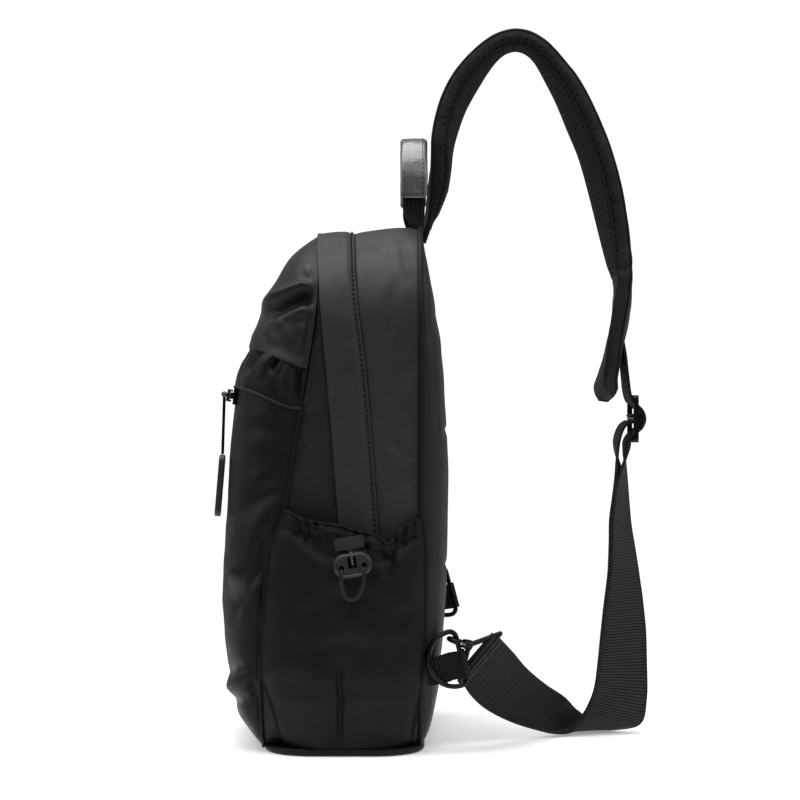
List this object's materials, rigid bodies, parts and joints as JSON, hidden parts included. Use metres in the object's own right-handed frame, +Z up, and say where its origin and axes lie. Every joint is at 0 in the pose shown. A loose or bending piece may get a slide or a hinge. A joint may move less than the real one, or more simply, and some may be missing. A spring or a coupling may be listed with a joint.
{
  "type": "sling bag",
  "caption": "Slim upright sling bag with a front pocket, two gathered side pockets, a top handle and one padded shoulder strap clipped to a ring at its foot.",
  "frame": {"origin": "centre of the flat underside that the bag stands on", "axes": "+Z up, +Y towards the wearer's back, -Y towards the front pocket, +X the bag's side with the cord lock and the clipped ring"},
  "size_m": [0.2079, 0.263, 0.4355],
  "materials": {
    "shell_fabric": "black satin nylon weave with a soft sheen",
    "lining_fabric": "black plain polyester lining",
    "base_fabric": "black coated base fabric",
    "piping_fabric": "black bias-cut piping",
    "board_plastic": "stiff sheet",
    "foam": "closed-cell foam",
    "zipper_tape": "knitted tape",
    "zipper_coil": "nylon coil",
    "dark_metal": "black nickel plating",
    "spring_steel": "bright wire",
    "tag_plate": "satin moulded plate",
    "lock_plastic": "moulded plastic, satin",
    "elastic": "braided elastic cord",
    "webbing": "ribbed nylon webbing",
    "grip_leather": "glossy black grained leather",
    "strap_fabric": "smooth black cover fabric",
    "air_mesh": "open spacer mesh"
  },
  "bodies": {
    "bag": {"base_panel": "base_fabric", "base_board": "board_plastic", "base_piping": "piping_fabric", "rear_gusset": "shell_fabric", "front_gusset": "shell_fabric", "storm_flap": "shell_fabric", "main_zipper_tape": "zipper_tape", "main_zipper_chain": "zipper_coil", "front_divider": "shell_fabric", "inner_pocket": "shell_fabric", "back_panel_cover": "shell_fabric", "back_panel_foam": "foam", "back_panel_lining": "lining_fabric", "back_piping": "piping_fabric", "top_flap": "shell_fabric", "gathered_band": "shell_fabric", "front_panel": "shell_fabric", "front_zipper_tape": "zipper_tape", "front_zipper_chain": "zipper_coil", "side_pocket_right": "shell_fabric", "side_pocket_left": "shell_fabric", "cord_lock_body": "lock_plastic", "cord_lock_spring": "spring_steel", "elastic_cord": "elastic", "webbing_tab_right": "webbing", "webbing_tab_left": "webbing", "strap_neck": "strap_fabric"},
    "main_slider": {"main_zipper_slider": "dark_metal", "main_zipper_pull": "dark_metal"},
    "front_slider": {"front_zipper_slider": "dark_metal"},
    "front_pull": {"front_pull_link": "dark_metal", "front_pull_tag": "tag_plate"},
    "lock_button": {"cord_lock_button": "lock_plastic"},
    "right_ring": {"ring_right": "dark_metal"},
    "left_ring": {"ring_left": "dark_metal"},
    "handle": {"handle_webbing": "webbing", "handle_grip": "grip_leather"},
    "strap": {"strap_pad_cover": "strap_fabric", "strap_pad_foam": "foam", "strap_pad_mesh": "air_mesh", "strap_webbing": "webbing", "strap_webbing_return": "webbing", "tri_glide_frame": "dark_metal", "tri_glide_bar": "dark_metal", "hook_eye": "dark_metal", "hook_swivel_pin": "dark_metal", "hook_claw": "dark_metal"},
    "gate": {"hook_gate": "dark_metal"}
  },
  "joints": [
    {"name": "front_slider_slide", "type": "slide", "parent": "bag", "child": "front_slider", "axis": [1, 0, 0], "range_m": [-0.076, 0.004]},
    {"name": "front_pull_swing", "type": "hinge", "parent": "front_slider", "child": "front_pull", "pos_m": [0.036, -0.07486, 0.20945], "axis": [1, 0, 0], "range_deg": [-140, 0]},
    {"name": "main_slider_slide", "type": "slide", "parent": "bag", "child": "main_slider", "axis": [0, -0.0643, 0.9979], "range_m": [-0.02, 0.07]},
    {"name": "cord_lock_press", "type": "slide", "parent": "bag", "child": "lock_button", "axis": [0, 0.1564, -0.9877], "range_m": [0, 0.0016], "stiffness_N_per_m": 1500, "springref_m": -0.0006, "deforming": ["cord_lock_spring"]},
    {"name": "ring_right_swing", "type": "hinge", "parent": "bag", "child": "right_ring", "pos_m": [0.083, 0.0665, 0.057], "axis": [0, -0.2501, 0.9682], "range_deg": [0, 100]},
    {"name": "ring_left_swing", "type": "hinge", "parent": "bag", "child": "left_ring", "pos_m": [-0.083, 0.0645, 0.081], "axis": [0, 0.2501, -0.9682], "range_deg": [0, 140]},
    {"name": "handle_fold", "type": "hinge", "parent": "bag", "child": "handle", "pos_m": [0, 0.0386, 0.308], "axis": [1, 0, 0], "range_deg": [0, 65]},
    {"name": "strap_swing", "type": "hinge", "parent": "bag", "child": "strap", "pos_m": [0.083, 0.0642, 0.06591], "axis": [-0.2624, -0.0338, 0.9644], "range_deg": [-30, 0]},
    {"name": "hook_gate_open", "type": "hinge", "parent": "strap", "child": "gate", "pos_m": [0.08306, 0.06891, 0.06422], "axis": [0, -0.3372, -0.9414], "range_deg": [0, 20], "stiffness_Nm_per_rad": 0.02, "springref_deg": -11.46}
  ]
}
